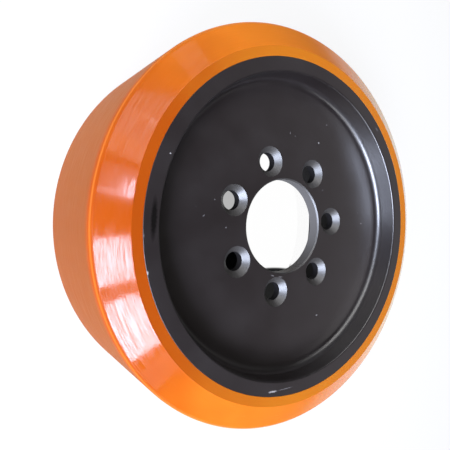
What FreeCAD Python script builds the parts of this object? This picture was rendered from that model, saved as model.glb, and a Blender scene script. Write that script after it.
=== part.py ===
# Drive wheel of a forklift truck: a one-piece metal hub with a polyurethane tread bonded round it.
# The wheel's axis is +Z with its front face up, and the origin is on the axis in the middle of the width.
# All lengths are in millimetres and all angles in degrees.
import FreeCAD, Part
import os
import Sketcher

OUTPUT_FOLDER = "parts"
FULL_TURN = 360.0

# How a sketch names the points of its lines and circles, and its own origin and horizontal axis.
START, END, CENTRE = 1, 2, 3
SKETCH_ORIGIN = (-1, START)
SKETCH_X_AXIS = -1

# Driving dimensions: name, value, meaning.
SIZES = [
    ("wheel_width", 140.0, "width over the side faces, the same for hub and tread"),
    ("hub_diameter", 280.0, "outside of the hub, where the tread is bonded on"),
    ("tread_thickness", 31.5, "hub's outside to the running face"),
    ("shoulder_depth", 14.0, "how far the sloping shoulder runs back from the side face, along the axis"),
    ("side_band", 8.0, "flat ring of tread between the hub's rim and the shoulder"),
    ("running_corner_bevel", 3.0, "broken corner of the running face, along and across the axis"),
    ("front_rim_width", 12.0, "flat rim between the tread and the dished front recess"),
    ("recess_depth", 19.5, "front rim down to the bolting plate"),
    ("recess_corner_radius", 7.0, "round between recess wall and plate"),
    ("plate_thickness", 12.0, "bolting plate"),
    ("back_rim_width", 13.0, "flat rim between the tread and the cavity that goes over the drive flange"),
    ("cavity_corner_bevel", 6.0, "thickened corner between cavity wall and plate"),
    ("wall_draft", 2.0, "casting draft of the recess and cavity walls"),
    ("rim_outer_chamfer", 0.8, "broken edge of each rim beside the tread"),
    ("rim_inner_chamfer", 1.6, "broken edge of each rim towards the axis"),
    ("bore_diameter", 82.0, "centre bore that locates on the drive flange"),
    ("bore_chamfer", 1.2, "broken edge at both ends of the bore"),
    ("bolt_circle_diameter", 116.0, "circle of the bolt holes"),
    ("bolt_hole_count", 7, "bolt holes, evenly spaced, the first on +X"),
    ("bolt_hole_diameter", 16.0, "clearance hole for a wheel bolt"),
    ("bolt_seat_diameter", 26.0, "mouth of the conical bolt seat"),
    ("bolt_seat_angle", 90.0, "included angle of the conical bolt seat"),
]


def make_sheet(doc):
    """Write the driving dimensions into a spreadsheet, one row each, with the value's cell named."""
    sheet = doc.addObject("Spreadsheet::Sheet", "Sizes")
    for row, (name, value, meaning) in enumerate(SIZES, start=1):
        sheet.set(f"A{row}", name)
        sheet.set(f"B{row}", str(value))
        sheet.set(f"C{row}", meaning)
        sheet.setAlias(f"B{row}", name)
    doc.recompute()
    return sheet


# Expressions shared by the sketches and features. Heights run along the axis, radii across it.
FRONT = "Sizes.wheel_width / 2"
BACK = "-Sizes.wheel_width / 2"
PLATE_FRONT = f"{FRONT} - Sizes.recess_depth"
PLATE_BACK = f"{PLATE_FRONT} - Sizes.plate_thickness"
CAVITY_DEPTH = "(Sizes.wheel_width - Sizes.recess_depth - Sizes.plate_thickness)"
DRAFT_SLOPE = "tan(Sizes.wall_draft * 1 deg)"

BORE_RADIUS = "Sizes.bore_diameter / 2"
HUB_RADIUS = "Sizes.hub_diameter / 2"
RECESS_MOUTH = f"{HUB_RADIUS} - Sizes.front_rim_width"
RECESS_FLOOR = f"{RECESS_MOUTH} - Sizes.recess_depth * {DRAFT_SLOPE}"
CAVITY_MOUTH = f"{HUB_RADIUS} - Sizes.back_rim_width"
CAVITY_FLOOR = f"{CAVITY_MOUTH} - {CAVITY_DEPTH} * {DRAFT_SLOPE}"
BAND_RADIUS = f"{HUB_RADIUS} + Sizes.side_band"
TREAD_RADIUS = f"{HUB_RADIUS} + Sizes.tread_thickness"
SHOULDER_FRONT = f"{FRONT} - Sizes.shoulder_depth"
SHOULDER_BACK = f"{BACK} + Sizes.shoulder_depth"
SHOULDER_SLOPE = "Sizes.shoulder_depth / (Sizes.tread_thickness - Sizes.side_band)"
BEVEL = "Sizes.running_corner_bevel"
BEVEL_RADIUS = f"{TREAD_RADIUS} - {BEVEL}"
BEVEL_RISE = f"{BEVEL} * {SHOULDER_SLOPE}"

# Corners of each half section as radius, height and the size of the round there, if it has one.
HUB_CORNERS = [
    (BORE_RADIUS, PLATE_BACK, None),
    (BORE_RADIUS, PLATE_FRONT, None),
    (RECESS_FLOOR, PLATE_FRONT, "recess_corner_radius"),
    (RECESS_MOUTH, FRONT, None),
    (HUB_RADIUS, FRONT, None),
    (HUB_RADIUS, BACK, None),
    (CAVITY_MOUTH, BACK, None),
    (CAVITY_FLOOR, PLATE_BACK, None),
]
TREAD_CORNERS = [
    (HUB_RADIUS, BACK, None),
    (HUB_RADIUS, FRONT, None),
    (BAND_RADIUS, FRONT, None),
    (BEVEL_RADIUS, f"{SHOULDER_FRONT} + {BEVEL_RISE}", None),
    (TREAD_RADIUS, f"{SHOULDER_FRONT} - {BEVEL}", None),
    (TREAD_RADIUS, f"{SHOULDER_BACK} + {BEVEL}", None),
    (BEVEL_RADIUS, f"{SHOULDER_BACK} - {BEVEL_RISE}", None),
    (BAND_RADIUS, BACK, None),
]


def origin_feature(body, role):
    """Return the body's own origin plane or axis that has this role."""
    return next(item for item in body.Origin.OriginFeatures if item.Role == role)


def measure(sheet, expression):
    """Return the number that an expression of the sheet's cells comes to."""
    value = sheet.evalExpression(expression)
    return float(getattr(value, "Value", value))


def add_sketch(body, name, plane_role):
    """Add an empty sketch on one of the body's own origin planes."""
    sketch = body.newObject("Sketcher::SketchObject", name)
    sketch.AttachmentSupport = (origin_feature(body, plane_role), [""])
    sketch.MapMode = "FlatFace"
    return sketch


def bind(sketch, constraint, expression):
    """Add a dimension to a sketch and bind its value to an expression."""
    number = sketch.addConstraint(constraint)
    sketch.setExpression(f"Constraints[{number}]", expression)


def draw_section(sketch, sheet, corners):
    """Draw a closed half section through corners given as radius, height and round.

    Sides along or across the axis are held vertical or horizontal, and every other coordinate is a
    distance of the sharp corner from the axis or from the middle of the width. A rounded corner keeps
    its sharp corner as a point, with a tangent arc between its two sides.
    """
    points = []
    for radius, height, _ in corners:
        points.append(FreeCAD.Vector(measure(sheet, radius), measure(sheet, height), 0))
    count = len(points)
    for index in range(count):
        sketch.addGeometry(Part.LineSegment(points[index], points[(index + 1) % count]), False)
    for index in range(count):
        sketch.addConstraint(Sketcher.Constraint("Coincident", index, END, (index + 1) % count, START))
    for index, (radius, height, rounding) in enumerate(corners):
        corner = (index, START)
        if rounding:
            size = measure(sheet, f"Sizes.{rounding}")
            arc = sketch.GeometryCount
            sketch.fillet(index, START, size, True, True)
            bind(sketch, Sketcher.Constraint("Radius", arc, size), f"Sizes.{rounding}")
            corner = (arc + 1, START)
        side_before = index - 1
        if index and radius == corners[side_before][0]:
            sketch.addConstraint(Sketcher.Constraint("Vertical", side_before))
        else:
            distance = Sketcher.Constraint("DistanceX", *SKETCH_ORIGIN, *corner, points[index].x)
            bind(sketch, distance, radius)
        if index and height == corners[side_before][1]:
            sketch.addConstraint(Sketcher.Constraint("Horizontal", side_before))
        else:
            distance = Sketcher.Constraint("DistanceY", *SKETCH_ORIGIN, *corner, points[index].y)
            bind(sketch, distance, height)


def revolve_section(body, sheet, name, corners):
    """Turn a half section, drawn on the XZ plane, round the wheel's axis."""
    sketch = add_sketch(body, f"{name}_section", "XZ_Plane")
    draw_section(sketch, sheet, corners)
    turned = body.newObject("PartDesign::Revolution", f"{name}_turned")
    turned.Profile = sketch
    turned.ReferenceAxis = (sketch, ["V_Axis"])
    turned.Angle = FULL_TURN
    body.Document.recompute()
    return turned


def circles_at(feature, height):
    """Return the names of the full circles round the axis at a height, the smallest first."""
    found = []
    for number, edge in enumerate(feature.Shape.Edges, start=1):
        if isinstance(edge.Curve, Part.Circle) and edge.isClosed():
            centre = edge.Curve.Center
            if FreeCAD.Vector(0, 0, height).isEqual(centre, Part.Precision.confusion()):
                found.append((edge.Curve.Radius, f"Edge{number}"))
    return [name for radius, name in sorted(found)]


def break_edges(body, base, name, edges, size):
    """Chamfer edges of the body's last feature, given by their names, to a size of the sheet."""
    chamfer = body.newObject("PartDesign::Chamfer", name)
    chamfer.Base = (base, edges)
    chamfer.setExpression("Size", f"Sizes.{size}")
    body.Document.recompute()
    return chamfer


def make_hub(doc, sheet):
    """Build the hub: its turned section, broken edges and ring of bolt seats."""
    body = doc.addObject("PartDesign::Body", "hub")
    body.Label = "hub"
    last = revolve_section(body, sheet, "hub", HUB_CORNERS)

    # The smallest circle at each face of the plate is the bore's edge, and at each side face it is the
    # rim's inner edge. The largest circle at the back of the plate is its corner with the cavity's wall.
    plate_faces = [measure(sheet, PLATE_FRONT), measure(sheet, PLATE_BACK)]
    side_faces = [measure(sheet, FRONT), measure(sheet, BACK)]
    edges = [circles_at(last, measure(sheet, PLATE_BACK))[-1]]
    last = break_edges(body, last, "cavity_corner", edges, "cavity_corner_bevel")
    edges = [circles_at(last, height)[0] for height in plate_faces]
    last = break_edges(body, last, "bore_edges", edges, "bore_chamfer")
    edges = [circles_at(last, height)[0] for height in side_faces]
    last = break_edges(body, last, "rim_inner_edges", edges, "rim_inner_chamfer")
    edges = [circles_at(last, height)[-1] for height in side_faces]
    last = break_edges(body, last, "rim_outer_edges", edges, "rim_outer_chamfer")

    # One bolt hole with its conical seat, drilled from the front of the plate, then repeated round the axis.
    centre = add_sketch(body, "bolt_hole_centre", "XY_Plane")
    centre.setExpression("AttachmentOffset.Base.z", PLATE_FRONT)
    pitch_radius = measure(sheet, "Sizes.bolt_circle_diameter / 2")
    hole_radius = measure(sheet, "Sizes.bolt_hole_diameter / 2")
    circle = Part.Circle(FreeCAD.Vector(pitch_radius, 0, 0), FreeCAD.Vector(0, 0, 1), hole_radius)
    centre.addGeometry(circle, False)
    centre.addConstraint(Sketcher.Constraint("PointOnObject", 0, CENTRE, SKETCH_X_AXIS))
    distance = Sketcher.Constraint("DistanceX", *SKETCH_ORIGIN, 0, CENTRE, pitch_radius)
    bind(centre, distance, "Sizes.bolt_circle_diameter / 2")
    bind(centre, Sketcher.Constraint("Radius", 0, hole_radius), "Sizes.bolt_hole_diameter / 2")
    doc.recompute()
    undrilled = last.Shape.Volume
    hole = body.newObject("PartDesign::Hole", "bolt_hole")
    hole.Profile = centre
    doc.recompute()
    hole.ThreadType = "None"
    hole.HoleCutType = "Countersink"
    hole.HoleCutCustomValues = True
    hole.DepthType = "ThroughAll"
    hole.setExpression("Diameter", "Sizes.bolt_hole_diameter")
    hole.setExpression("HoleCutDiameter", "Sizes.bolt_seat_diameter")
    hole.setExpression("HoleCutCountersinkAngle", "Sizes.bolt_seat_angle")
    doc.recompute()
    if hole.Shape.Volume >= undrilled:
        raise RuntimeError("the bolt hole cut nothing")

    ring = body.newObject("PartDesign::PolarPattern", "bolt_holes")
    ring.Originals = [hole]
    ring.Axis = (origin_feature(body, "Z_Axis"), [""])
    ring.Angle = FULL_TURN
    ring.setExpression("Occurrences", "Sizes.bolt_hole_count")
    body.Tip = ring
    doc.recompute()
    return body


def make_tread(doc, sheet):
    """Build the tread: a turned band with the same shoulder at both sides and broken running corners."""
    body = doc.addObject("PartDesign::Body", "tread")
    body.Label = "tread"
    revolve_section(body, sheet, "tread", TREAD_CORNERS)
    return body


def check_document(doc, bodies):
    """Stop if any object of the document failed or a piece has no sound solid."""
    for item in doc.Objects:
        if "Invalid" in item.State or "Error" in item.State:
            raise RuntimeError(f"{item.Name} failed: {item.State}")
    for body in bodies:
        if body.Shape.isNull() or not body.Shape.isValid():
            raise RuntimeError(f"{body.Label} has no valid shape")
        if len(body.Shape.Solids) != 1:
            raise RuntimeError(f"{body.Label} is not one solid")


def main():
    """Build the wheel and write each piece to its own file."""
    doc = FreeCAD.newDocument("drive_wheel")
    sheet = make_sheet(doc)
    bodies = [make_hub(doc, sheet), make_tread(doc, sheet)]
    for body in bodies:
        body.Placement = FreeCAD.Placement()
    doc.recompute()
    check_document(doc, bodies)
    os.makedirs(OUTPUT_FOLDER, exist_ok=True)
    for body in bodies:
        body.Shape.exportStep(os.path.join(OUTPUT_FOLDER, f"{body.Label}.step"))
        print(f"{body.Label}: {body.Shape.Volume:.0f} mm3, {len(body.Shape.Faces)} faces")


main()
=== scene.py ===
"""Forklift drive wheel, dressed: a satin black hub with an orange polyurethane tread bonded round it.

The wheel lies on its back on white studio paper with its front face up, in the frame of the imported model.
Sizes of the wheel are in millimetres, and everything that reaches Blender is in metres.
"""
import logging
import math
from collections.abc import Mapping, Sequence
from dataclasses import dataclass
from enum import Enum

import bmesh
import bpy
from bmesh.types import BMesh
from bpy.types import Material, Node, NodeSocket, NodeTree, Object
from mathutils import Matrix, Vector


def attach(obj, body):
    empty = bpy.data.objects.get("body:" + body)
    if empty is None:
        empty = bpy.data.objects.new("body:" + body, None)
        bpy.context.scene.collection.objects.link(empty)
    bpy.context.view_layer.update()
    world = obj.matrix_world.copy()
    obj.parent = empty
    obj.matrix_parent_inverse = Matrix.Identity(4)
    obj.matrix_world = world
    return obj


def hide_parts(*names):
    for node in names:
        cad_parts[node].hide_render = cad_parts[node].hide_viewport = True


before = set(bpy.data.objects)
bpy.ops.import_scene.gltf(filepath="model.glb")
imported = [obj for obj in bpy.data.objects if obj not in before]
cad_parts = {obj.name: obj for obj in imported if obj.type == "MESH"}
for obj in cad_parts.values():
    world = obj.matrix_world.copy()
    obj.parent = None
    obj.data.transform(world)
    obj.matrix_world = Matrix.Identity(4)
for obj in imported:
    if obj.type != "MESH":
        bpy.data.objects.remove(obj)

LOG = logging.getLogger("drive_wheel")
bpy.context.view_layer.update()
BODY = "root"
MM = 0.001
FULL_TURN = 2.0 * math.pi

# Sizes that more than one piece or finish takes.
HALF_WIDTH = 70.0
HUB_RADIUS = 140.0
BAND_RADIUS = 148.0
RUNNING_RADIUS = 171.5
PLATE_FRONT = 50.5

# A place times this keeps what lies across the wheel's axis.
ACROSS_AXIS = (1.0, 1.0, 0.0)
# Blender's usual level of gloss, which a mark in the paint can take away.
USUAL_GLOSS = 0.5

# What an input of a shader node can be linked to.
Source = Node | NodeSocket


class Side(Enum):
    """The two side faces of the wheel, as the sign of their height along the axis."""

    FRONT = 1.0
    BACK = -1.0


class Ray(Enum):
    """Kinds of ray that the paper shows its own white to."""

    CAMERA = "Is Camera Ray"
    GLOSSY = "Is Glossy Ray"


class HubSurface(Enum):
    """Surfaces of the hub that differ in finish, numbered as their materials are."""

    PAINTED = 0
    HOLLOW = 1
    SEATS = 2
    BORE = 3
    REGISTER = 4


def linear(shade: str) -> tuple[float, float, float, float]:
    """Turn an sRGB hex colour into the linear colour that a shader socket takes.

    Args:
        shade: Colour such as "#e06a1c".

    Returns:
        Red, green, blue and full opacity.
    """
    channels = [int(shade[i:i + 2], 16) / 255.0 for i in (1, 3, 5)]
    red, green, blue = (c / 12.92 if c <= 0.04045 else ((c + 0.055) / 1.055) ** 2.4 for c in channels)
    return red, green, blue, 1.0


def add_node(tree: NodeTree, kind: str, inputs: Mapping[str | int, object] | None = None,
             **settings: object) -> Node:
    """Add one shader node with its settings, and fill or link its inputs.

    Args:
        tree: Node tree that gets the node.
        kind: Blender's name of the node type, without its leading ShaderNode.
        inputs: What each input takes, by its name or number: a value, an output socket, or a node, which
            stands for its first output in use.
        **settings: Properties of the node, such as operation or data_type.

    Returns:
        The new node.
    """
    node = tree.nodes.new("ShaderNode" + kind)
    for name, value in settings.items():
        setattr(node, name, value)
    for name, value in (inputs or {}).items():
        # A Mix node has several inputs of one name, of which only one is in use.
        taker = node.inputs[name] if isinstance(name, int) else next(
            socket for socket in node.inputs if socket.enabled and socket.name == name)
        if isinstance(value, Node):
            value = next(socket for socket in value.outputs if socket.enabled)
        if isinstance(value, NodeSocket):
            tree.links.new(value, taker)
        else:
            taker.default_value = value
    return node


def new_material(name: str) -> tuple[Material, NodeTree]:
    """Make an empty node material.

    Args:
        name: Name of the real material.

    Returns:
        The material and its node tree.
    """
    material = bpy.data.materials.new(name)
    material.use_nodes = True
    material.node_tree.nodes.clear()
    return material, material.node_tree


@dataclass(frozen=True)
class Corner:
    """One corner of a turned section, with the radius that rounds it off."""

    radius: float
    height: float
    rounding: float = 0.0


def round_section(corners: Sequence[Corner], closed: bool,
                  arc_step: float = math.radians(9.0)) -> list[Vector]:
    """Draw a section through its corners, with an arc at each rounded one.

    Args:
        corners: Corners in order.
        closed: Whether the last corner joins the first.
        arc_step: Most that the line turns at one point of an arc.

    Returns:
        Points as radius and height. A closed section ends on its first point.
    """
    spots = [Vector((c.radius, c.height)) for c in corners]
    line: list[Vector] = []
    for i, corner in enumerate(corners):
        at_end = not closed and i in (0, len(corners) - 1)
        if corner.rounding == 0.0 or at_end:
            line.append(spots[i])
            continue
        before = (spots[i - 1] - spots[i]).normalized()
        after = (spots[(i + 1) % len(spots)] - spots[i]).normalized()
        half = before.angle(after) / 2.0
        centre = spots[i] + (before + after).normalized() * (corner.rounding / math.sin(half))
        start = spots[i] + before * (corner.rounding / math.tan(half)) - centre
        end = spots[i] + after * (corner.rounding / math.tan(half)) - centre
        turn = start.angle_signed(end)
        steps = max(2, math.ceil(abs(turn) / arc_step))
        line.extend(centre + Matrix.Rotation(-turn * k / steps, 2) @ start for k in range(steps + 1))
    if closed:
        line.append(line[0].copy())
    return line


def rings_round_axis(line: Sequence[Vector], steps: int) -> list[list[Vector]]:
    """Turn a section round the wheel's axis.

    Args:
        line: Points of the section as radius and height.
        steps: Points in each ring.

    Returns:
        One ring for each point of the section.
    """
    angles = [FULL_TURN * k / steps for k in range(steps)]
    return [[Vector((p.x * math.cos(a), p.x * math.sin(a), p.y)) for a in angles] for p in line]


def skin(shape: BMesh, rings: Sequence[Sequence[Vector]]) -> None:
    """Lay quads between neighbouring closed rings that have the same number of points.

    Args:
        shape: Mesh that gets the quads, in millimetres.
        rings: Rings in order.
    """
    rows = [[shape.verts.new(point) for point in ring] for ring in rings]
    for near, far in zip(rows, rows[1:]):
        for i in range(len(near)):
            j = (i + 1) % len(near)
            shape.faces.new((near[i], near[j], far[j], far[i]))


def close_piece(shape: BMesh, name: str, sharp_angle: float = math.radians(28.0),
                weld: float = 0.002) -> Object:
    """Join a mesh's patches into one smooth-shaded piece of the wheel.

    Args:
        shape: Mesh in millimetres, which is used up.
        name: Name of the piece.
        sharp_angle: Edges that turn by more than this stay sharp.
        weld: Points that are closer than this are joined, in millimetres.

    Returns:
        The piece, in place in the scene.
    """
    bmesh.ops.remove_doubles(shape, verts=shape.verts, dist=weld)
    bmesh.ops.recalc_face_normals(shape, faces=shape.faces)
    bmesh.ops.scale(shape, vec=Vector((MM, MM, MM)), verts=shape.verts)
    mesh = bpy.data.meshes.new(name)
    shape.to_mesh(mesh)
    shape.free()
    mesh.polygons.foreach_set("use_smooth", [True] * len(mesh.polygons))
    mesh.set_sharp_from_angle(angle=sharp_angle)
    piece = bpy.data.objects.new(name, mesh)
    bpy.context.scene.collection.objects.link(piece)
    normals = piece.modifiers.new("flat faces keep their normals", "WEIGHTED_NORMAL")
    normals.keep_sharp = True
    return piece


@dataclass(frozen=True)
class Tone:
    """A tone that comes in over a stretch of the way round the wheel.

    The stretch is from start to full, by the X or the Y of the direction from the axis.
    """

    shade: str
    axis: str
    start: float
    full: float
    share: float = 1.0

    def lay_over(self, tree: NodeTree, heading: Node, colour: object) -> Node:
        """Lay the tone over a colour.

        Args:
            tree: Node tree of the material.
            heading: Direction from the axis, as X and Y.
            colour: Colour under the tone, or the node that gives it.

        Returns:
            Node that gives the colour with the tone.
        """
        way = heading.outputs[self.axis]
        share = add_node(tree, "MapRange",
                         {"Value": way, "From Min": self.start, "From Max": self.full, "To Max": self.share},
                         interpolation_type="SMOOTHSTEP")
        return add_node(tree, "Mix", {"Factor": share, "A": colour, "B": linear(self.shade)},
                        data_type="RGBA")


@dataclass(frozen=True)
class TurnedPolyurethane:
    """Cast polyurethane, turned to size after moulding.

    The eye gets a deep amber orange that light enters a little way, turning lines that break up the
    reflections on the glossy shoulder, and a running face that is ground matt. The orange is painted darker
    on the left and paler and yellower on the right, as painted shade and light, with a painted highlight
    along the running corner.
    """

    name: str = "turned_polyurethane"
    # Deep on the left, pale and then yellower on the right: painted shade and painted light across the
    # wheel.
    shaded_deep_orange: str = "#b44c0c"
    lit_pale_orange: str = "#fd8e2b"
    shade_to_light_span: tuple[float, float] = (-0.8, 0.2)
    golden_painted_light: Tone = Tone("#ffb62e", "X", 0.4, 0.95)
    # A little deeper in colour towards -Y.
    deeper_towards_minus_y: Tone = Tone("#b44c0c", "Y", -0.82, -1.0, 0.3)
    cloud_size: float = 60.0
    cloud_share: float = 0.5
    # The band's deep and pale ends, with the same painted shade on the left and light on the right.
    shaded_deep_band: str = "#b54e0f"
    lit_pale_band: str = "#d27920"
    ground_orange: str = "#9e5323"
    # The ground running face is paler towards +Y.
    paler_towards_plus_y: Tone = Tone("#b96730", "Y", 0.0, 0.8)
    ground_height: tuple[float, float] = (45.0, 54.0)

    # A painted highlight: the pale line along the running corner.
    corner_highlight_orange: str = "#ffa24c"
    corner_highlight_share: float = 0.26
    edge_inset: float = 0.8
    edge_reach: tuple[float, float] = (0.15, 0.6)

    # Real turning lines are about 0.2 mm apart, too fine to show, so these are drawn coarser. Round the
    # axis they change a few times in each radian.
    turning_line: float = 0.9
    turning_depth: float = 0.012
    turning_drift: float = 9.0

    # Gloss and added roughness at two levels of the turning lines.
    gloss_lines: tuple[float, float] = (0.4, 0.62)
    gloss: tuple[float, float] = (0.64, 0.32)
    grain_lines: tuple[float, float] = (0.4, 0.75)
    grain: tuple[float, float] = (-0.03, 0.22)

    refraction: float = 1.4
    shoulder_roughness: float = 0.08
    running_roughness: float = 0.5
    running_gloss: float = 0.06
    corner_inset: float = 2.9
    dulled_width: float = 1.6
    light_share: float = 0.15
    light_reach: float = 3.0
    light_spread: tuple[float, float, float] = (1.0, 0.35, 0.08)

    def cast_colour(self, tree: NodeTree, place: Source, heading: Node, radius: Source) -> Node:
        """Colour the casting, before its running face is ground.

        Args:
            tree: Node tree of the material.
            place: Place on the wheel.
            heading: Direction from the axis, as X and Y.
            radius: Distance from the axis.

        Returns:
            Node that gives the colour.
        """
        # Across the wheel the colour goes from deep on the left to pale and yellower on the right, painted
        # shade and painted light, with faint clouds in the casting's own tone. Towards -Y it is a little
        # deeper.
        clouds = add_node(tree, "TexNoise",
                          {"Vector": place, "Scale": 1.0 / (self.cloud_size * MM), "Detail": 2.0})
        clouds_and_side_light = add_node(tree, "Math", {0: clouds, 1: self.cloud_share, 2: heading.outputs["X"]},
                          operation="MULTIPLY_ADD")
        paler = add_node(tree, "MapRange",
                         {"Value": clouds_and_side_light, "From Min": self.shade_to_light_span[0], "From Max": self.shade_to_light_span[1]},
                         interpolation_type="SMOOTHSTEP")
        colour = add_node(tree, "Mix",
                          {"Factor": paler, "A": linear(self.shaded_deep_orange), "B": linear(self.lit_pale_orange)},
                          data_type="RGBA")
        for tone in (self.golden_painted_light, self.deeper_towards_minus_y):
            colour = tone.lay_over(tree, heading, colour)

        # A pale line painted along the edge of the running corner stands in for its highlight.
        edge_radius = (RUNNING_RADIUS - self.edge_inset) * MM
        from_edge = add_node(tree, "Math", {0: radius, 1: edge_radius}, operation="SUBTRACT")
        from_edge = add_node(tree, "Math", {0: from_edge}, operation="ABSOLUTE")
        edge = add_node(tree, "MapRange",
                        {"Value": from_edge, "From Min": self.edge_reach[0] * MM,
                         "From Max": self.edge_reach[1] * MM, "To Min": self.corner_highlight_share, "To Max": 0.0})
        colour = add_node(tree, "Mix", {"Factor": edge, "A": colour, "B": linear(self.corner_highlight_orange)},
                          data_type="RGBA")

        # The flat band beside the rim is a little deeper in colour, with the same painted shade and light.
        on_band = add_node(tree, "Math", {0: radius, 1: BAND_RADIUS * MM}, operation="LESS_THAN")
        band = add_node(tree, "Mix",
                        {"Factor": paler, "A": linear(self.shaded_deep_band), "B": linear(self.lit_pale_band)},
                        data_type="RGBA")
        return add_node(tree, "Mix", {"Factor": on_band, "A": colour, "B": band}, data_type="RGBA")

    def turning_lines(self, tree: NodeTree, along: Source, heading: Node) -> Node:
        """Draw the lines of the lathe, which change quickly along the section and slowly round the axis.

        Args:
            tree: Node tree of the material.
            along: Way along the turned section.
            heading: Direction from the axis, as X and Y.

        Returns:
            Node that gives the level of the lines.
        """
        lathe = add_node(tree, "CombineXYZ",
                         {"X": along, "Y": heading.outputs["X"], "Z": heading.outputs["Y"]})
        stretch = (1.0 / (self.turning_line * MM), self.turning_drift, self.turning_drift)
        lathe = add_node(tree, "VectorMath", {0: lathe, 1: stretch}, operation="MULTIPLY")
        return add_node(tree, "TexNoise", {"Vector": lathe, "Scale": 1.0, "Detail": 3.0, "Roughness": 0.6})

    def make(self) -> Material:
        """Build the material.

        Returns:
            The finished material.
        """
        material, tree = new_material(self.name)
        place = add_node(tree, "TexCoord").outputs["Object"]
        height = add_node(tree, "SeparateXYZ", {"Vector": place}).outputs["Z"]
        across = add_node(tree, "VectorMath", {0: place, 1: ACROSS_AXIS}, operation="MULTIPLY")
        radius = add_node(tree, "VectorMath", {0: across}, operation="LENGTH")
        outward = add_node(tree, "VectorMath", {0: across}, operation="NORMALIZE")
        heading = add_node(tree, "SeparateXYZ", {"Vector": outward})
        colour = self.cast_colour(tree, place, heading, radius)

        from_middle = add_node(tree, "Math", {0: height}, operation="ABSOLUTE")
        along = add_node(tree, "Math", {0: radius, 1: from_middle}, operation="SUBTRACT")
        lines = self.turning_lines(tree, along, heading)
        ridges = add_node(tree, "Bump", {"Height": lines, "Distance": self.turning_depth * MM})

        # The running face is ground matt up to its corners, and the shoulder is left as the tool cut it.
        corner = RUNNING_RADIUS - self.corner_inset
        dulled = add_node(tree, "MapRange",
                          {"Value": radius, "From Min": corner * MM,
                           "From Max": (corner + self.dulled_width) * MM})
        ground = add_node(tree, "MapRange",
                          {"Value": height, "From Min": self.ground_height[0] * MM,
                           "From Max": self.ground_height[1] * MM, "To Min": dulled, "To Max": 0.0},
                          interpolation_type="SMOOTHSTEP")
        matt = self.paler_towards_plus_y.lay_over(tree, heading, linear(self.ground_orange))
        colour = add_node(tree, "Mix", {"Factor": ground, "A": colour, "B": matt}, data_type="RGBA")

        # Where the lathe tore the surface it shines less and is rougher.
        gloss = add_node(tree, "MapRange",
                         {"Value": lines, "From Min": self.gloss_lines[0], "From Max": self.gloss_lines[1],
                          "To Min": self.gloss[0], "To Max": self.gloss[1]})
        gloss = add_node(tree, "MapRange", {"Value": dulled, "To Min": gloss, "To Max": self.running_gloss})
        grain = add_node(tree, "MapRange",
                         {"Value": lines, "From Min": self.grain_lines[0], "From Max": self.grain_lines[1],
                          "To Min": self.grain[0], "To Max": self.grain[1]})
        rough = add_node(tree, "MapRange",
                         {"Value": dulled, "To Min": self.shoulder_roughness,
                          "To Max": self.running_roughness})
        rough = add_node(tree, "Math", {0: rough, 1: grain}, operation="ADD")

        surface = add_node(tree, "BsdfPrincipled",
                           {"Base Color": colour, "Roughness": rough, "IOR": self.refraction,
                            "Specular IOR Level": gloss, "Normal": ridges,
                            "Subsurface Weight": self.light_share, "Subsurface Radius": self.light_spread,
                            "Subsurface Scale": self.light_reach * MM})
        add_node(tree, "OutputMaterial", {"Surface": surface})
        return material


@dataclass(frozen=True)
class Mark:
    """A small blemish in the paint: a blot that covers an ellipse on one face."""

    x: float
    y: float
    z: float
    length: float
    width: float
    turn: float
    shade: str
    gloss: float = USUAL_GLOSS


RIM, PLATE = HALF_WIDTH, PLATE_FRONT
PALE, GREY, DARK = "#b4b0ae", "#6f6b6b", "#050404"
HUB_MARKS = (
    # A dark patch with no shine on the left of the rim.
    Mark(-131.5, 16.1, RIM, 31.0, 5.0, 83.0, DARK, gloss=0.0),
    Mark(-36.5, -130.8, RIM, 9.5, 1.5, -8.0, PALE),
    Mark(-23.0, -132.3, RIM, 17.0, 0.8, -5.0, GREY),
    Mark(-138.1, -19.7, RIM, 3.0, 1.6, 98.0, PALE),
    Mark(-139.2, 5.3, RIM, 2.4, 1.2, 88.0, GREY),
    Mark(-117.0, 59.6, RIM, 1.5, 1.2, 0.0, PALE),
    Mark(104.6, 86.4, RIM, 4.5, 1.5, 128.0, GREY),
    Mark(-16.0, -41.6, PLATE, 4.0, 1.4, -20.0, GREY),
    Mark(-7.0, -44.0, PLATE, 5.5, 1.2, -8.0, GREY),
    Mark(-71.0, 26.5, PLATE, 1.4, 1.1, 0.0, GREY),
    Mark(-81.7, 14.6, PLATE, 2.6, 0.9, 40.0, GREY),
    Mark(-61.8, 3.7, PLATE, 1.6, 1.0, 20.0, GREY),
    Mark(45.3, 73.9, PLATE, 1.8, 1.3, 0.0, PALE),
    Mark(56.7, 91.2, PLATE, 1.6, 1.2, 0.0, GREY),
    Mark(10.6, 81.7, PLATE, 2.4, 0.8, 70.0, GREY),
    Mark(101.8, -5.3, PLATE, 1.8, 1.3, 0.0, PALE),
    Mark(35.2, -86.2, PLATE, 1.9, 1.2, 0.0, PALE),
    Mark(48.5, 30.0, PLATE, 1.4, 1.1, 0.0, GREY),
)


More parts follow.
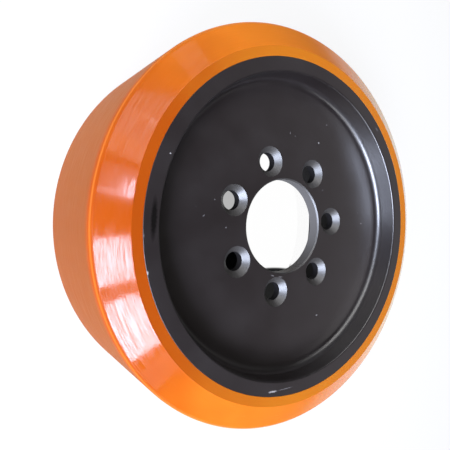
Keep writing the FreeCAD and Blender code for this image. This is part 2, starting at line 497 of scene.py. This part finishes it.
@dataclass(frozen=True)
class CastingPaint:
    """Two-part paint sprayed on a turned iron casting, satin black unless other values are given.

    The eye gets a soft warm black with broad satin highlights on every broken edge, a fine orange peel, a
    few pale dust specks, and the scratches and chips of a wheel that has been handled.
    """

    name: str = "satin_black_paint_on_cast_iron"
    paint: str = "#100606"
    worn_paint: str = "#160a0a"
    rim_paint: str = "#180e0e"
    rim_depth: float = 0.5
    cloud_size: float = 45.0

    # The index is high for a paint, to match how strongly its edges shine.
    refraction: float = 2.36
    roughness: float = 0.36
    roughness_spread: tuple[float, float] = (-0.04, 0.05)
    spread_clouds: tuple[float, float] = (0.3, 0.7)
    peel_size: float = 1.6
    peel_depth: float = 0.004

    dust: str = "#6c6868"
    speck_spacing: float = 24.0
    speck_size: float = 0.7
    speck_core: float = 0.4
    speck_share: float = 0.8
    film: float = 0.24
    film_tint: str = "#ffeee0"
    film_roughness: float = 0.5
    film_tilt: float = 0.9

    marks: tuple[Mark, ...] = HUB_MARKS
    mark_depth: float = 2.0
    mark_edge: tuple[float, float] = (0.5, 1.1)
    ragged: float = 1.1

    def dusty_colour(self, tree: NodeTree, place: Source, clouds: Source) -> Node:
        """Colour the paint, with its rubbed rims and specks of dust.

        Args:
            tree: Node tree of the material.
            place: Place on the wheel.
            clouds: Faint clouds in the paint.

        Returns:
            Node that gives the colour.
        """
        paint = add_node(tree, "Mix",
                         {"Factor": clouds, "A": linear(self.paint), "B": linear(self.worn_paint)},
                         data_type="RGBA")

        # The rims stand proud, so hands and pallets have dulled them.
        height = add_node(tree, "SeparateXYZ", {"Vector": place}).outputs["Z"]
        from_middle = add_node(tree, "Math", {0: height}, operation="ABSOLUTE")
        on_rim = add_node(tree, "Math", {0: from_middle, 1: (HALF_WIDTH - self.rim_depth) * MM},
                          operation="GREATER_THAN")
        paint = add_node(tree, "Mix", {"Factor": on_rim, "A": paint, "B": linear(self.rim_paint)},
                         data_type="RGBA")

        # Dust lies in single specks, one at most in each cell.
        cells = add_node(tree, "TexVoronoi", {"Vector": place, "Scale": 1.0 / (self.speck_spacing * MM)})
        reach = self.speck_size / self.speck_spacing
        specks = add_node(tree, "MapRange",
                          {"Value": cells, "From Min": reach * self.speck_core, "From Max": reach,
                           "To Min": self.speck_share, "To Max": 0.0})
        return add_node(tree, "Mix", {"Factor": specks, "A": paint, "B": linear(self.dust)},
                        data_type="RGBA")

    def add_marks(self, tree: NodeTree, place: Source, peel: Node,
                  colour: Source) -> tuple[Source, Source | float]:
        """Lay the scratches and chips over the paint.

        Args:
            tree: Node tree of the material.
            place: Place on the wheel.
            peel: Fine noise that shakes the places of the marks, so that their edges are ragged.
            colour: Colour of the paint.

        Returns:
            The colour and the gloss with the marks.
        """
        noise_middle = (0.5, 0.5, 0.5)
        shake = add_node(tree, "VectorMath", {0: peel.outputs["Color"], 1: noise_middle},
                         operation="SUBTRACT")
        shaken = add_node(tree, "VectorMath", {0: shake, 1: (self.ragged * MM,) * 3, 2: place},
                          operation="MULTIPLY_ADD")
        gloss: Source | float = USUAL_GLOSS
        for mark in self.marks:
            spot = add_node(tree, "Mapping",
                            {"Vector": shaken, "Location": Vector((mark.x, mark.y, mark.z)) * MM,
                             "Rotation": (0.0, 0.0, math.radians(mark.turn)),
                             "Scale": Vector((mark.length / 2.0, mark.width / 2.0, self.mark_depth)) * MM},
                            vector_type="TEXTURE")
            away = add_node(tree, "VectorMath", {0: spot}, operation="LENGTH")
            cover = add_node(tree, "MapRange",
                             {"Value": away, "From Min": self.mark_edge[0], "From Max": self.mark_edge[1],
                              "To Min": 1.0, "To Max": 0.0})
            colour = add_node(tree, "Mix", {"Factor": cover, "A": colour, "B": linear(mark.shade)},
                              data_type="RGBA")
            gloss = add_node(tree, "Mix", {"Factor": cover, "A": gloss, "B": mark.gloss})
        return colour, gloss

    def make(self) -> Material:
        """Build the material.

        Returns:
            The finished material.
        """
        material, tree = new_material(self.name)
        coordinates = add_node(tree, "TexCoord").outputs
        place = coordinates["Object"]
        clouds = add_node(tree, "TexNoise",
                          {"Vector": place, "Scale": 1.0 / (self.cloud_size * MM), "Detail": 4.0})
        peel = add_node(tree, "TexNoise",
                        {"Vector": place, "Scale": 1.0 / (self.peel_size * MM), "Detail": 2.0})
        colour, gloss = self.add_marks(tree, place, peel, self.dusty_colour(tree, place, clouds))

        # A thin film of dust lies on the faces that look up, and shows when they are seen at a low angle.
        upward = add_node(tree, "SeparateXYZ", {"Vector": coordinates["Normal"]}).outputs["Z"]
        film = add_node(tree, "MapRange",
                        {"Value": upward, "From Min": self.film_tilt, "From Max": 1.0, "To Max": self.film})

        bumps = add_node(tree, "Bump", {"Height": peel, "Distance": self.peel_depth * MM})
        smoothest, roughest = (self.roughness + spread for spread in self.roughness_spread)
        rough = add_node(tree, "MapRange",
                         {"Value": clouds, "From Min": self.spread_clouds[0],
                          "From Max": self.spread_clouds[1], "To Min": smoothest, "To Max": roughest})
        surface = add_node(tree, "BsdfPrincipled",
                           {"Base Color": colour, "Roughness": rough, "IOR": self.refraction,
                            "Specular IOR Level": gloss, "Normal": bumps, "Sheen Weight": film,
                            "Sheen Roughness": self.film_roughness, "Sheen Tint": linear(self.film_tint)})
        add_node(tree, "OutputMaterial", {"Surface": surface})
        return material


@dataclass(frozen=True)
class MachinedIron:
    """Grey cast iron, bored bright where the cavity's mouth seats on the drive unit, and not painted.

    The eye gets a bright metal with a soft reflection, drawn out along boring lines. Its colour is nearly
    white, paler than real iron, so that it shows the white paper that it mirrors.
    """

    name: str = "machined_cast_iron"
    bright: str = "#ffffff"
    dull: str = "#fafafa"
    roughness: float = 0.2

    # Real boring lines are about 0.2 mm apart, too fine to show, so these are drawn coarser.
    boring_line: float = 0.8
    boring_depth: float = 0.003
    boring_drift: float = 2.0

    def make(self) -> Material:
        """Build the material.

        Returns:
            The finished material.
        """
        material, tree = new_material(self.name)
        place = add_node(tree, "TexCoord").outputs["Object"]
        stretch = (self.boring_drift, self.boring_drift, 1.0 / (self.boring_line * MM))
        lathe = add_node(tree, "VectorMath", {0: place, 1: stretch}, operation="MULTIPLY")
        lines = add_node(tree, "TexNoise", {"Vector": lathe, "Scale": 1.0, "Detail": 2.0})
        colour = add_node(tree, "Mix", {"Factor": lines, "A": linear(self.bright), "B": linear(self.dull)},
                          data_type="RGBA")
        ridges = add_node(tree, "Bump", {"Height": lines, "Distance": self.boring_depth * MM})
        surface = add_node(tree, "BsdfPrincipled",
                           {"Base Color": colour, "Metallic": 1.0, "Roughness": self.roughness,
                            "Normal": ridges})
        add_node(tree, "OutputMaterial", {"Surface": surface})
        return material


@dataclass(frozen=True)
class PaintedLightSpot:
    """A round spot on the paper under the wheel, with its own level of white for one kind of ray: painted
    light, shadow or reflection.
    """

    ray: Ray
    x: float
    y: float
    full: float
    fade: float
    level: float = 1.0


@dataclass(frozen=True)
class StudioPaper:
    """White seamless paper under the wheel.

    The eye gets a white background with a soft shadow on it, a painted pool of light round the wheel, and
    painted light, shadow and reflections in spots under the wheel.
    """

    name: str = "white_seamless_paper"
    white: str = "#f7f7f5"
    # Painted shadow: a dark grey under the wheel. Painted shade: a mid grey far off, dimming what is
    # mirrored.
    shade: str = "#303030"
    distance: str = "#6a6a6a"
    glow_share: float = 0.85
    footprint: tuple[float, float] = (128.0, 134.0)
    painted_pool_reach: tuple[float, float] = (1000.0, 3500.0)
    mirrored_painted_pool_reach: tuple[float, float] = (350.0, 1400.0)

    # Seen through the bore and the bolt holes, the paper under the wheel glows white as painted light, but
    # for a painted grey shadow behind the left hole and painted dark shadows behind the lower left hole and
    # along the foot of the bore. Two spots glow for mirrored rays alone, a painted white reflection in the
    # register and in the bore's right wall.
    spots: tuple[PaintedLightSpot, ...] = (
        PaintedLightSpot(Ray.CAMERA, 0.0, 0.0, 134.0, 135.0, 1.17),
        PaintedLightSpot(Ray.CAMERA, 23.0, 23.0, 10.0, 20.0, 0.55),
        PaintedLightSpot(Ray.CAMERA, 27.0, -48.0, 13.0, 19.0, 0.0),
        PaintedLightSpot(Ray.CAMERA, 60.0, -261.0, 199.0, 201.0, 0.015),
        PaintedLightSpot(Ray.GLOSSY, 140.0, 0.0, 66.0, 74.0, 1.17),
        PaintedLightSpot(Ray.GLOSSY, -80.0, -5.0, 25.0, 45.0),
    )

    def painted_light_under_wheel(self, tree: NodeTree, flat: Source, ray: Ray) -> Source | float:
        """Paint the light and shadow of the spots under the wheel for one kind of ray.

        Args:
            tree: Node tree of the material.
            flat: Place on the paper.
            ray: Kind of ray.

        Returns:
            Level of white, with later spots over earlier ones.
        """
        painted_level: Source | float = 0.0
        for spot in (s for s in self.spots if s.ray is ray):
            centre = Vector((spot.x, spot.y, 0.0)) * MM
            off = add_node(tree, "VectorMath", {0: flat, 1: centre}, operation="DISTANCE")
            painted_level = add_node(tree, "MapRange",
                           {"Value": off, "From Min": spot.full * MM, "From Max": spot.fade * MM,
                            "To Min": spot.level, "To Max": painted_level})
        return painted_level

    def make(self) -> Material:
        """Build the material.

        Returns:
            The finished material.
        """
        material, tree = new_material(self.name)
        place = add_node(tree, "TexCoord").outputs["Object"]
        flat = add_node(tree, "VectorMath", {0: place, 1: ACROSS_AXIS}, operation="MULTIPLY")
        away = add_node(tree, "VectorMath", {0: flat}, operation="LENGTH")
        outside = add_node(tree, "MapRange",
                           {"Value": away, "From Min": self.footprint[0] * MM,
                            "From Max": self.footprint[1] * MM})

        # Round the wheel the paper glows in a painted pool of light, a smaller pool where it is mirrored.
        pools = {
            ray: add_node(tree, "MapRange",
                          {"Value": away, "From Min": near * MM, "From Max": far * MM,
                           "To Min": 1.0, "To Max": 0.0}, interpolation_type="SMOOTHSTEP")
            for ray, (near, far) in ((Ray.CAMERA, self.painted_pool_reach), (Ray.GLOSSY, self.mirrored_painted_pool_reach))
        }
        path = add_node(tree, "LightPath").outputs
        seen: Source | float = 0.0
        for ray, pool in pools.items():
            under = self.painted_light_under_wheel(tree, flat, ray)
            painted_level = add_node(tree, "MapRange", {"Value": outside, "To Min": under, "To Max": pool})
            seen = add_node(tree, "Math", {0: path[ray.value], 1: painted_level, 2: seen}, operation="MULTIPLY_ADD")
        share = add_node(tree, "Math", {0: seen, 1: self.glow_share}, operation="MULTIPLY")

        # The paper's colour carries the painted shadow under the wheel and the painted shade far off.
        tone = add_node(tree, "Mix",
                        {"Factor": pools[Ray.GLOSSY], "A": linear(self.distance), "B": linear(self.white)},
                        data_type="RGBA")
        tone = add_node(tree, "Mix", {"Factor": outside, "A": linear(self.shade), "B": tone},
                        data_type="RGBA")
        paper = add_node(tree, "BsdfDiffuse", {"Color": tone})
        front = add_node(tree, "MixShader", {0: share, 1: paper, 2: add_node(tree, "Emission")})

        # From below the paper is left out, so that the wheel's back can be seen.
        behind = add_node(tree, "NewGeometry").outputs["Backfacing"]
        nothing = add_node(tree, "BsdfTransparent")
        surface = add_node(tree, "MixShader", {0: behind, 1: front, 2: nothing})
        add_node(tree, "OutputMaterial", {"Surface": surface})
        return material


@dataclass
class Tread:
    """The polyurethane band, with a running face, a sloping shoulder at each side and a flat side band."""

    node: str = "tread"
    slot: str = "tread_polyurethane"
    half_width: float = HALF_WIDTH
    hub_radius: float = HUB_RADIUS
    band_radius: float = BAND_RADIUS
    running_radius: float = RUNNING_RADIUS
    shoulder_height: float = 56.0
    running_rounding: float = 6.0
    band_rounding: float = 0.5
    seat_rounding: float = 0.3
    steps: int = 360

    def side_corners(self, side: Side) -> list[Corner]:
        """Return the corners of one side, from the hub outwards.

        Args:
            side: Side of the wheel.

        Returns:
            The corners.
        """
        sign = side.value
        return [
            Corner(self.hub_radius, sign * self.half_width, self.seat_rounding),
            Corner(self.band_radius, sign * self.half_width, self.band_rounding),
            Corner(self.running_radius, sign * self.shoulder_height, self.running_rounding),
        ]

    def build(self) -> Object:
        """Turn the band's section.

        Returns:
            The band, in place.
        """
        corners = self.side_corners(Side.FRONT) + self.side_corners(Side.BACK)[::-1]
        shape = bmesh.new()
        skin(shape, rings_round_axis(round_section(corners, closed=True), self.steps))
        return close_piece(shape, "tread_band")

    def dress(self, finish: TurnedPolyurethane) -> Object:
        """Build the band with its finish in place of its solid.

        Args:
            finish: What the band is made of.

        Returns:
            The finished band.
        """
        band = self.build()
        band.data.materials.append(finish.make())
        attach(band, BODY)
        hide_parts(self.node)
        return band


@dataclass
class Hub:
    """The wheel centre: rims, dished recess, plate with bore and bolt seats, and open back cavity."""

    node: str = "hub"
    slot: str = "hub_paint"
    half_width: float = HALF_WIDTH
    hub_radius: float = HUB_RADIUS
    recess_mouth: float = 128.0
    recess_floor: float = 127.32
    recess_rounding: float = 7.0
    cavity_mouth: float = 127.0
    cavity_floor: float = 123.21
    cavity_rounding: float = 10.0
    register_depth: float = 21.0
    plate_front: float = PLATE_FRONT
    plate_back: float = 38.5
    bore_radius: float = 41.0
    bore_chamfer: float = 1.2
    rim_inner_rounding: float = 1.6
    rim_outer_chamfer: float = 0.2
    edge_rounding: float = 0.35
    bolt_circle: float = 58.0
    bolt_count: int = 7
    bolt_radius: float = 8.0
    seat_radius: float = 13.0

    # The plate's mesh: how far its edge stays inside the rounded corners, as a share of their radius, the
    # flat strips that belong to the bore and the seats, and its divisions.
    corner_room: float = 1.3
    bore_strip: float = 1.0
    seat_strip: float = 0.8
    steps_per_bolt: int = 48
    steps_between_bolts: int = 24
    plate_rows: tuple[float, ...] = (0.0, 0.04, 0.12, 0.3, 0.6, 0.92, 1.0)

    # A seat's finish stops this far short of the plate's face, and the register's takes this share of the
    # rubbed edge of the rim.
    seat_margin: float = 0.05
    register_edge_share: float = 0.3

    @property
    def throat(self) -> float:
        """Height at which a bolt seat's cone, of 90 degrees, meets its hole."""
        return self.plate_front - (self.seat_radius - self.bolt_radius)

    @property
    def register_corner(self) -> Corner:
        """Spot on the cavity's wall where the bored register ends."""
        rise = self.rim_inner_rounding + self.register_depth
        share = rise / (self.half_width + self.plate_back)
        radius = self.cavity_mouth + (self.cavity_floor - self.cavity_mouth) * share
        return Corner(radius, rise - self.half_width)

    def rim_corners(self, side: Side, mouth: float) -> list[Corner]:
        """Return the corners of one rim, from the hub's hollow outwards, with the inner edge rubbed round.

        Args:
            side: Side of the wheel.
            mouth: Radius of the hollow at that side.

        Returns:
            The corners.
        """
        sign, face, outer = side.value, self.half_width, self.rim_outer_chamfer
        return [
            Corner(mouth, sign * face, self.rim_inner_rounding),
            Corner(self.hub_radius - outer, sign * face),
            Corner(self.hub_radius, sign * (face - outer)),
        ]

    def ring_corners(self) -> list[Corner]:
        """Return the corners of the outer ring, from the plate's front round to its back.

        Returns:
            The corners.
        """
        plate_edge_front = self.recess_floor - self.corner_room * self.recess_rounding
        plate_edge_back = self.cavity_floor - self.corner_room * self.cavity_rounding
        return [
            Corner(plate_edge_front, self.plate_front),
            Corner(self.recess_floor, self.plate_front, self.recess_rounding),
            *self.rim_corners(Side.FRONT, self.recess_mouth),
            *self.rim_corners(Side.BACK, self.cavity_mouth)[::-1],
            self.register_corner,
            Corner(self.cavity_floor, self.plate_back, self.cavity_rounding),
            Corner(plate_edge_back, self.plate_back),
        ]

    def bore_corners(self) -> list[Corner]:
        """Return the corners of the bore, from the plate's back to its front.

        Returns:
            The corners.
        """
        wide = self.bore_radius + self.bore_chamfer
        soft = self.edge_rounding
        return [
            Corner(wide + self.bore_strip, self.plate_back),
            Corner(wide, self.plate_back, soft),
            Corner(self.bore_radius, self.plate_back + self.bore_chamfer, soft),
            Corner(self.bore_radius, self.plate_front - self.bore_chamfer, soft),
            Corner(wide, self.plate_front, soft),
            Corner(wide + self.bore_strip, self.plate_front),
        ]

    def seat_corners(self) -> list[Corner]:
        """Return the corners of a bolt hole, from the conical seat's mouth to the plate's back.

        Returns:
            The corners.
        """
        soft = self.edge_rounding
        return [
            Corner(self.seat_radius + self.seat_strip, self.plate_front),
            Corner(self.seat_radius, self.plate_front, soft),
            Corner(self.bolt_radius, self.throat, soft),
            Corner(self.bolt_radius, self.plate_back, soft),
            Corner(self.bolt_radius + self.seat_strip, self.plate_back),
        ]

    def plate_outline(self, middle: float, inside: float, outside: float, height: float) -> list[Vector]:
        """Return the outline of one bolt's share of the plate, starting on the outer arc.

        Args:
            middle: Angle of the bolt hole.
            inside: Radius at which the bore's edge takes over.
            outside: Radius at which the ring takes over.
            height: Height of the plate's face.

        Returns:
            Closed ring of points.
        """
        half = math.pi / self.bolt_count
        steps = self.steps_per_bolt
        turns = [middle - half + 2.0 * half * k / steps for k in range(steps + 1)]
        rows = [outside + (inside - outside) * k / (self.steps_between_bolts + 1)
                for k in range(1, self.steps_between_bolts + 1)]
        polar = [(outside, a) for a in turns]
        polar += [(r, turns[-1]) for r in rows]
        polar += [(inside, a) for a in reversed(turns)]
        polar += [(r, turns[0]) for r in reversed(rows)]
        return [Vector((r * math.cos(a), r * math.sin(a), height)) for r, a in polar]

    def add_bolt_share(self, shape: BMesh, middle: float, ring: Sequence[Vector],
                       bore: Sequence[Vector]) -> None:
        """Add one bolt hole with its share of both faces of the plate.

        Args:
            shape: Mesh that gets the faces.
            middle: Angle of the bolt hole.
            ring: Section of the outer ring, which starts and ends on the plate.
            bore: Section of the bore, which starts and ends on the plate.
        """
        centre = Vector((self.bolt_circle * math.cos(middle), self.bolt_circle * math.sin(middle), 0.0))
        front = self.plate_outline(middle, bore[-1].x, ring[0].x, self.plate_front)
        back = self.plate_outline(middle, bore[0].x, ring[-1].x, self.plate_back)
        outward = [(point - centre).xy.normalized() for point in front]
        seat = round_section(self.seat_corners(), closed=False)
        rings = [[centre + Vector((d.x * p.x, d.y * p.x, p.y)) for d in outward] for p in seat]
        skin(shape, rings)
        for edge, outline in ((rings[0], front), (rings[-1], back)):
            skin(shape, [[a.lerp(b, t) for a, b in zip(edge, outline)] for t in self.plate_rows])

    def build(self) -> Object:
        """Turn the ring and the bore, and join them by the drilled plate.

        Returns:
            The hub, in place.
        """
        steps = self.steps_per_bolt * self.bolt_count
        ring = round_section(self.ring_corners(), closed=False)
        bore = round_section(self.bore_corners(), closed=False)
        shape = bmesh.new()
        skin(shape, rings_round_axis(ring, steps))
        skin(shape, rings_round_axis(bore, steps))
        for k in range(self.bolt_count):
            self.add_bolt_share(shape, FULL_TURN * k / self.bolt_count, ring, bore)
        return close_piece(shape, "hub_casting")

    def surface_at(self, spot: Vector) -> HubSurface:
        """Tell which surface of the hub a spot is on.

        Args:
            spot: Middle of a face, in metres.

        Returns:
            The surface.
        """
        radius, height = spot.xy.length / MM, spot.z / MM
        register_radius = self.cavity_mouth + self.register_edge_share * self.rim_inner_rounding
        seat_top = self.plate_front - self.seat_margin
        if radius < self.bore_radius + self.bore_chamfer and height < self.plate_front - self.bore_chamfer:
            return HubSurface.BORE
        if self.throat < height < seat_top and radius < self.bolt_circle + self.seat_radius:
            return HubSurface.SEATS
        if height < self.register_corner.height and radius < register_radius:
            return HubSurface.REGISTER
        if height < self.throat and radius < self.cavity_mouth:
            return HubSurface.HOLLOW
        return HubSurface.PAINTED

    def dress(self, finishes: Mapping[HubSurface, CastingPaint | MachinedIron]) -> Object:
        """Build the hub with its finishes in place of its solid.

        Args:
            finishes: What each surface of the hub is finished with.

        Returns:
            The finished hub.
        """
        casting = self.build()
        for surface in HubSurface:
            casting.data.materials.append(finishes[surface].make())
        for face in casting.data.polygons:
            face.material_index = self.surface_at(face.center).value
        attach(casting, BODY)
        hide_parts(self.node)
        return casting


WHITE_LIGHT, DAYLIGHT = "#ffffff", "#dde7ff"


@dataclass(frozen=True)
class Softbox:
    """A rectangular lamp, placed by the direction and the angles at which the wheel sees it.

    Angles are in degrees, the distance is in metres, and the brightness is that of the lamp's face.
    """

    name: str
    azimuth: float
    elevation: float
    across: float
    tall: float
    brightness: float
    colour: str = WHITE_LIGHT
    distance: float = 3.0

    def hang(self) -> Object:
        """Hang the lamp, facing the wheel.

        Returns:
            The lamp.
        """
        turn, rise = math.radians(self.azimuth), math.radians(self.elevation)
        toward = Vector((math.cos(rise) * math.cos(turn), math.cos(rise) * math.sin(turn), math.sin(rise)))
        lamp = bpy.data.lights.new(self.name, "AREA")
        lamp.shape = "RECTANGLE"
        lamp.size = 2.0 * self.distance * math.tan(math.radians(self.across) / 2.0)
        lamp.size_y = 2.0 * self.distance * math.tan(math.radians(self.tall) / 2.0)
        lamp.energy = self.brightness * math.pi * lamp.size * lamp.size_y
        lamp.color = linear(self.colour)[:3]
        box = bpy.data.objects.new(self.name, lamp)
        box.matrix_world = (Matrix.Translation(toward * self.distance)
                            @ (-toward).to_track_quat("-Z", "Y").to_matrix().to_4x4())
        box.visible_camera = False
        bpy.context.scene.collection.objects.link(box)
        return box


@dataclass
class Studio:
    """White paper floor, soft boxes and a plain dim room round the wheel."""

    floor_height: float = -HALF_WIDTH
    floor_half: float = 15.0
    horizon: str = "#505050"
    ceiling: str = "#161618"
    horizon_rise: float = 0.1

    # Windows on the left give the bright patches and streaks on the shoulder, and panels fill in the rest.
    softboxes: tuple[Softbox, ...] = (
        Softbox("left window", -164.7, 38.0, 16.4, 21.0, 28.5, DAYLIGHT),
        Softbox("lower left window", -132.9, 34.5, 20.7, 18.0, 30.5, DAYLIGHT),
        Softbox("lower left edge", -111.0, 30.0, 8.0, 14.0, 1.3, DAYLIGHT),
        Softbox("streak light", 160.5, 44.5, 2.2, 6.0, 8.0, DAYLIGHT),
        Softbox("streak glow", 152.5, 44.5, 8.0, 6.0, 2.4, DAYLIGHT),
        Softbox("bright spot", 157.0, 47.7, 6.4, 2.2, 60.0, DAYLIGHT),
        Softbox("upper left panel", 131.0, 41.0, 17.5, 22.0, 2.7),
        Softbox("upper left patch", 90.0, 26.0, 9.0, 12.0, 1.0),
        Softbox("upper light", 93.0, 46.0, 44.0, 22.0, 2.3),
        Softbox("lower fill", -94.0, 41.0, 30.0, 13.0, 3.0),
        Softbox("right fill", -9.0, 37.0, 50.0, 13.0, 0.2),
    )

    def lay_floor(self, finish: StudioPaper) -> Object:
        """Lay the paper under the wheel.

        Args:
            finish: What the floor is made of.

        Returns:
            The floor.
        """
        half, height = self.floor_half, self.floor_height * MM
        corners = [(x * half, y * half, height) for x, y in ((-1, -1), (1, -1), (1, 1), (-1, 1))]
        mesh = bpy.data.meshes.new("paper_floor")
        mesh.from_pydata(corners, [], [range(len(corners))])
        mesh.materials.append(finish.make())
        floor = bpy.data.objects.new("paper_floor", mesh)
        bpy.context.scene.collection.objects.link(floor)
        return floor

    def light_room(self) -> None:
        """Give the room a grey horizon and a dark ceiling, and hang the soft boxes."""
        world = bpy.data.worlds.new("plain room")
        world.use_nodes = True
        tree = world.node_tree
        tree.nodes.clear()
        direction = add_node(tree, "TexCoord").outputs["Generated"]
        rise = add_node(tree, "SeparateXYZ", {"Vector": direction}).outputs["Z"]
        share = add_node(tree, "MapRange", {"Value": rise, "From Min": 0.0, "From Max": self.horizon_rise},
                         interpolation_type="SMOOTHSTEP")
        colour = add_node(tree, "Mix",
                          {"Factor": share, "A": linear(self.horizon), "B": linear(self.ceiling)},
                          data_type="RGBA")
        room = add_node(tree, "Background", {"Color": colour})
        add_node(tree, "OutputWorld", {"Surface": room})
        bpy.context.scene.world = world
        for softbox in self.softboxes:
            softbox.hang()
        bpy.context.scene.view_settings.view_transform = "Standard"


@dataclass(frozen=True)
class PhotoCamera:
    """A camera close to the wheel, up on its left, turned so that the wheel seems to stand upright."""

    place: tuple[float, float, float] = (-245.31, 29.53, 329.68)
    right: tuple[float, float, float] = (0.8314, -0.0439, 0.5540)
    up: tuple[float, float, float] = (0.0657, 0.9977, -0.0195)
    lens: float = 33.62
    sensor: float = 36.0
    shift: tuple[float, float] = (-0.0048, -0.0174)
    clip: tuple[float, float] = (0.01, 100.0)

    def set_up(self) -> Object:
        """Make the camera and give it to the scene.

        Returns:
            The camera.
        """
        data = bpy.data.cameras.new("photo_camera")
        data.lens, data.sensor_width = self.lens, self.sensor
        data.shift_x, data.shift_y = self.shift
        data.clip_start, data.clip_end = self.clip
        right = Vector(self.right).normalized()
        back = right.cross(Vector(self.up)).normalized()
        turned = Matrix((right, back.cross(right), back)).transposed().to_4x4()
        camera = bpy.data.objects.new("photo_camera", data)
        camera.matrix_world = Matrix.Translation(Vector(self.place) * MM) @ turned
        bpy.context.scene.collection.objects.link(camera)
        bpy.context.scene.camera = camera
        return camera


def hub_finishes() -> dict[HubSurface, CastingPaint | MachinedIron]:
    """Choose what each surface of the hub is finished with.

    Returns:
        The finishes.
    """
    # The cavity has primer alone, flat and nearly black. Bolts have rubbed the seats to a greyer paint with
    # a broad soft shine, and the bore is painted a dull grey.
    return {
        HubSurface.PAINTED: CastingPaint(),
        HubSurface.HOLLOW: CastingPaint(
            name="matt_black_primer", paint="#121011", worn_paint="#171415",
            refraction=1.4, roughness=0.7, marks=()),
        HubSurface.SEATS: CastingPaint(
            name="rubbed_black_paint", paint="#36322e", worn_paint="#403c38",
            refraction=2.1, roughness=0.46, peel_depth=0.03, marks=()),
        HubSurface.BORE: CastingPaint(
            name="dull_grey_bore_paint", paint="#6f6b67", worn_paint="#7a7672",
            refraction=1.6, roughness=0.6, peel_depth=0.02, marks=()),
        HubSurface.REGISTER: MachinedIron(),
    }


def main() -> None:
    """Build the camera, the studio and the wheel, and report each piece."""
    logging.basicConfig(level=logging.INFO, format="%(name)s: %(message)s")
    PhotoCamera().set_up()
    studio = Studio()
    floor = studio.lay_floor(StudioPaper())
    studio.light_room()
    for piece in (Tread().dress(TurnedPolyurethane()), Hub().dress(hub_finishes())):
        LOG.info("%s: %d faces, %s", piece.name, len(piece.data.polygons), piece.data.materials[0].name)
    LOG.info("%s: stage, with %d lamps", floor.name, len(studio.softboxes))


if __name__ == "__main__":
    main()
